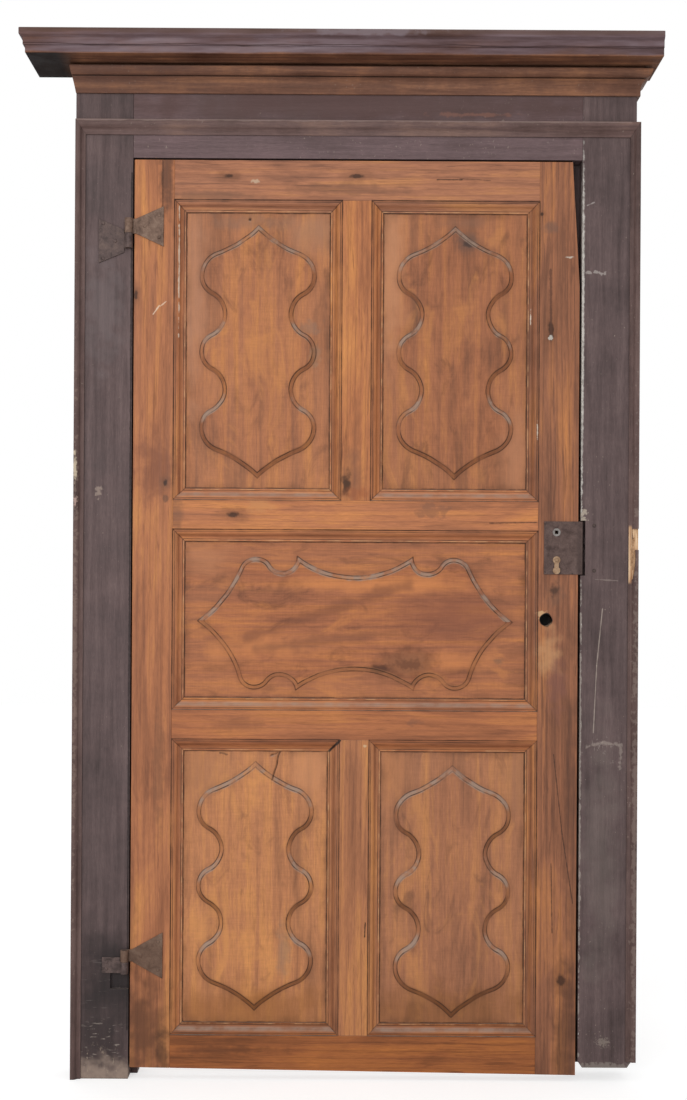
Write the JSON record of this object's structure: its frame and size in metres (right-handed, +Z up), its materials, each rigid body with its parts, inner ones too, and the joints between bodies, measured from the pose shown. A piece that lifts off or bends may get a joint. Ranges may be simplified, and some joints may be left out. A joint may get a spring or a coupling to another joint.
{
  "type": "panelled door in a wooden surround",
  "caption": "Worn panelled wooden door leaf with carved cartouches, on lift-off hinges in a moulded surround with a cornice, with a rim lock and keep.",
  "frame": {"origin": "floor level under the left post's foot, midway across the doorway, on the wall plane that the posts' backs lie against", "axes": "+X to the right seen from the front, +Y back into the wall, +Z up"},
  "size_m": [1.272, 0.175, 2.093],
  "materials": {
    "surround_wood": "softwood with thin dark paint, worn and dusty",
    "cornice_wood": "softwood with worn brown stain",
    "leaf_wood": "bare orange-brown softwood, stripped and weathered",
    "panel_wood": "bare softwood with a carved face, blotched",
    "hinge_iron": "wrought iron with brown rust and old paint",
    "lock_paint": "sheet iron with dark worn paint",
    "lock_iron": "bare worn iron",
    "cover_brass": "dull brass"
  },
  "bodies": {
    "frame": {"left_post": "surround_wood", "right_post": "surround_wood", "head": "surround_wood", "left_post_moulding": "surround_wood", "right_post_moulding": "surround_wood", "head_moulding": "surround_wood", "bed_moulding": "cornice_wood", "bed_right_return": "cornice_wood", "crown": "cornice_wood", "crown_left_return": "cornice_wood", "upper_hinge_post_plate": "hinge_iron", "lower_hinge_post_plate": "hinge_iron", "upper_hinge_pin": "hinge_iron", "lower_hinge_pin": "hinge_iron", "post_hinge_nails": "hinge_iron", "keep_plate": "lock_paint", "keep_nails": "hinge_iron"},
    "leaf": {"hinge_stile": "leaf_wood", "lock_stile": "leaf_wood", "top_rail": "leaf_wood", "cross_rail": "leaf_wood", "lock_rail": "leaf_wood", "bottom_rail": "leaf_wood", "upper_muntin": "leaf_wood", "lower_muntin": "leaf_wood", "upper_left_panel": "panel_wood", "upper_right_panel": "panel_wood", "middle_panel": "panel_wood", "lower_left_panel": "panel_wood", "lower_right_panel": "panel_wood", "upper_hinge_leaf_plate": "hinge_iron", "lower_hinge_leaf_plate": "hinge_iron", "leaf_hinge_nails": "hinge_iron", "lock_case": "lock_paint", "lock_cap": "lock_paint", "latch_spring": "lock_iron", "cover_rivet": "cover_brass", "lock_nails": "hinge_iron"},
    "dead_bolt": {"dead_bolt": "lock_iron", "bolt_back_spring": "lock_iron"},
    "latch_bolt": {"latch_bolt": "lock_iron"},
    "follower": {"follower": "lock_iron"},
    "keyhole_cover": {"keyhole_cover": "cover_brass"}
  },
  "joints": [
    {"name": "leaf_swing", "type": "hinge", "parent": "frame", "child": "leaf", "pos_m": [-0.4616, -0.089, 1], "axis": [0, 0, -1], "range_deg": [0, 170]},
    {"name": "dead_bolt_throw", "type": "slide", "parent": "leaf", "child": "dead_bolt", "axis": [1, 0, 0], "range_m": [0, 0.016]},
    {"name": "follower_turn", "type": "hinge", "parent": "leaf", "child": "follower", "pos_m": [0.4052, -0.07, 1.10918], "axis": [0, -1, 0], "range_deg": [0, 40]},
    {"name": "latch_throw", "type": "slide", "parent": "leaf", "child": "latch_bolt", "axis": [1, 0, 0], "range_m": [0, 0.0095]},
    {"name": "keyhole_cover_swing", "type": "hinge", "parent": "leaf", "child": "keyhole_cover", "pos_m": [0.4052, -0.0848, 1.05318], "axis": [0, -1, 0], "range_deg": [-95, 95]}
  ],
  "couplings": [
    {"joint": "follower_turn", "follows": "latch_throw", "rad_per_m": 73.4}
  ]
}
